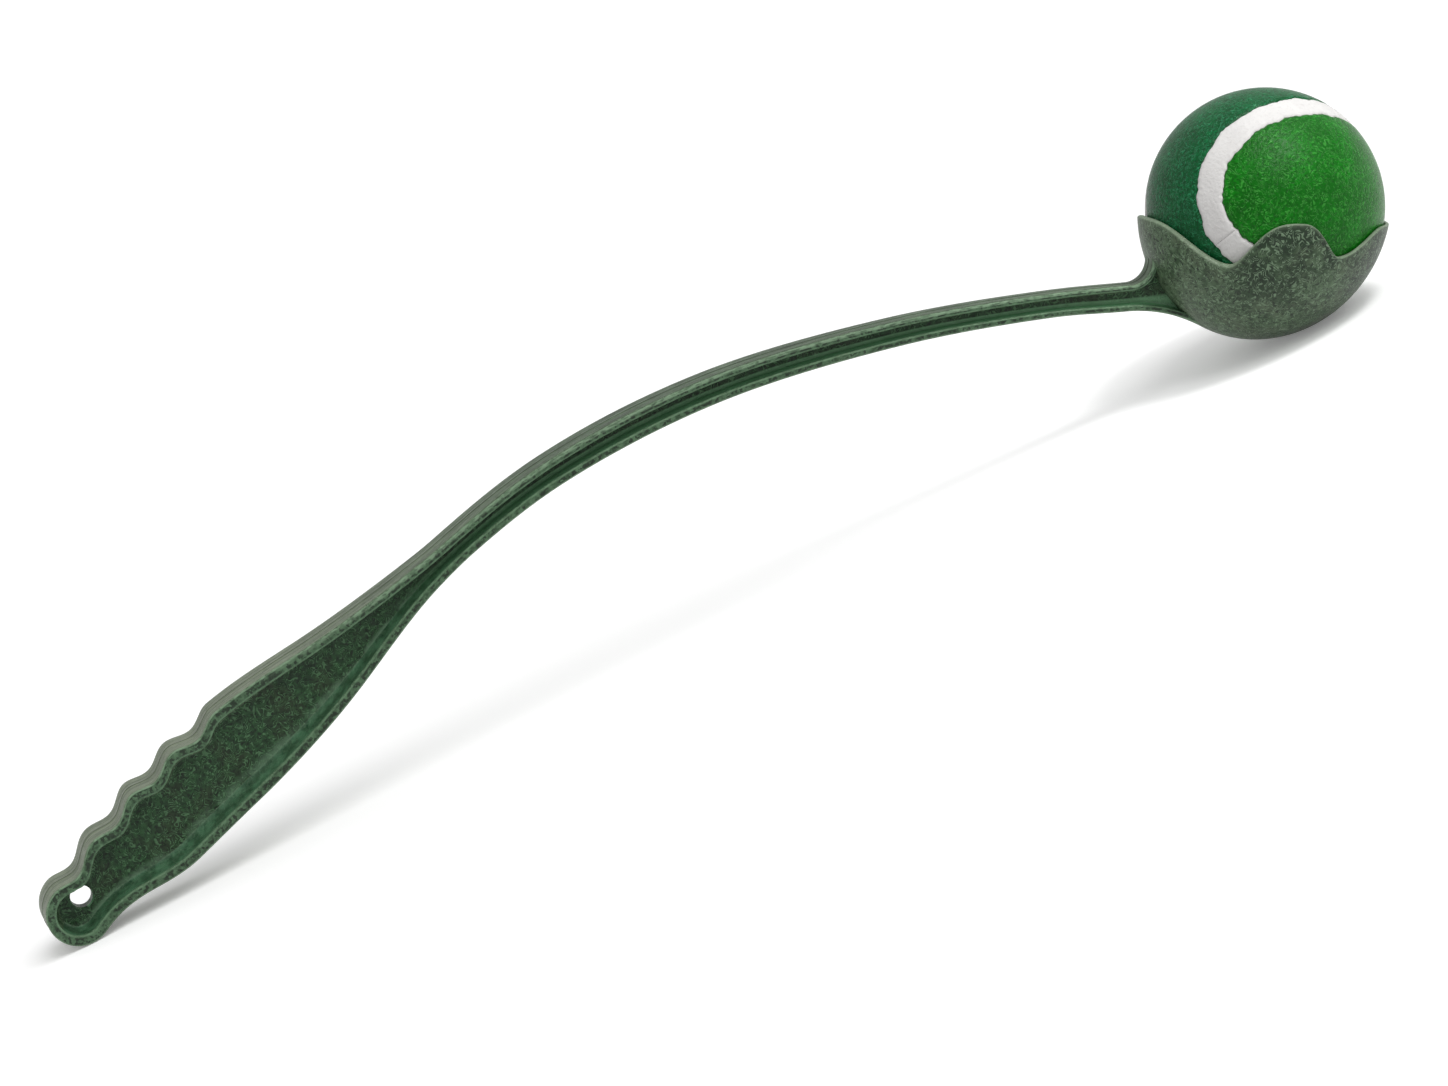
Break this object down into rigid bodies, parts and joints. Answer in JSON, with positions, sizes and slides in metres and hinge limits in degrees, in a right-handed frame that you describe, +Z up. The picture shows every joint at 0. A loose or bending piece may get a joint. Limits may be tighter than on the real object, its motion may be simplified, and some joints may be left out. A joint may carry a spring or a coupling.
{
  "type": "dog ball thrower",
  "caption": "Arched one-piece ball thrower: I-section handle with finger notches and hang hole, slim curved arm, petalled cup gripping a felt-covered ball, stood on its butt and cup.",
  "frame": {"origin": "middle of the bounding box, on the floor that the thrower's butt and cup stand on", "axes": "+Z is up, +X runs along the thrower from its butt to its cup, and Y is square to the launcher's mirror plane at y = 0"},
  "size_m": [0.4124, 0.0682, 0.0668],
  "materials": {
    "launcher_plastic": "satin dark green moulding, marbled with short dark plant fibres",
    "core_rubber": "matt moulded rubber, hidden",
    "dark_felt": "napped dark green felt",
    "bright_felt": "napped bright green felt",
    "white_strip": "off-white felt strip, short nap"
  },
  "bodies": {
    "launcher": {"launcher": "launcher_plastic"},
    "ball": {"core_half_a": "core_rubber", "core_half_b": "core_rubber", "felt_panel_dark": "dark_felt", "felt_panel_bright": "bright_felt", "seam_band": "white_strip"}
  },
  "joints": [
    {"name": "ball_release", "type": "slide", "parent": "launcher", "child": "ball", "axis": [0.4491, 0, 0.8935], "range_m": [0, 0.09]}
  ]
}
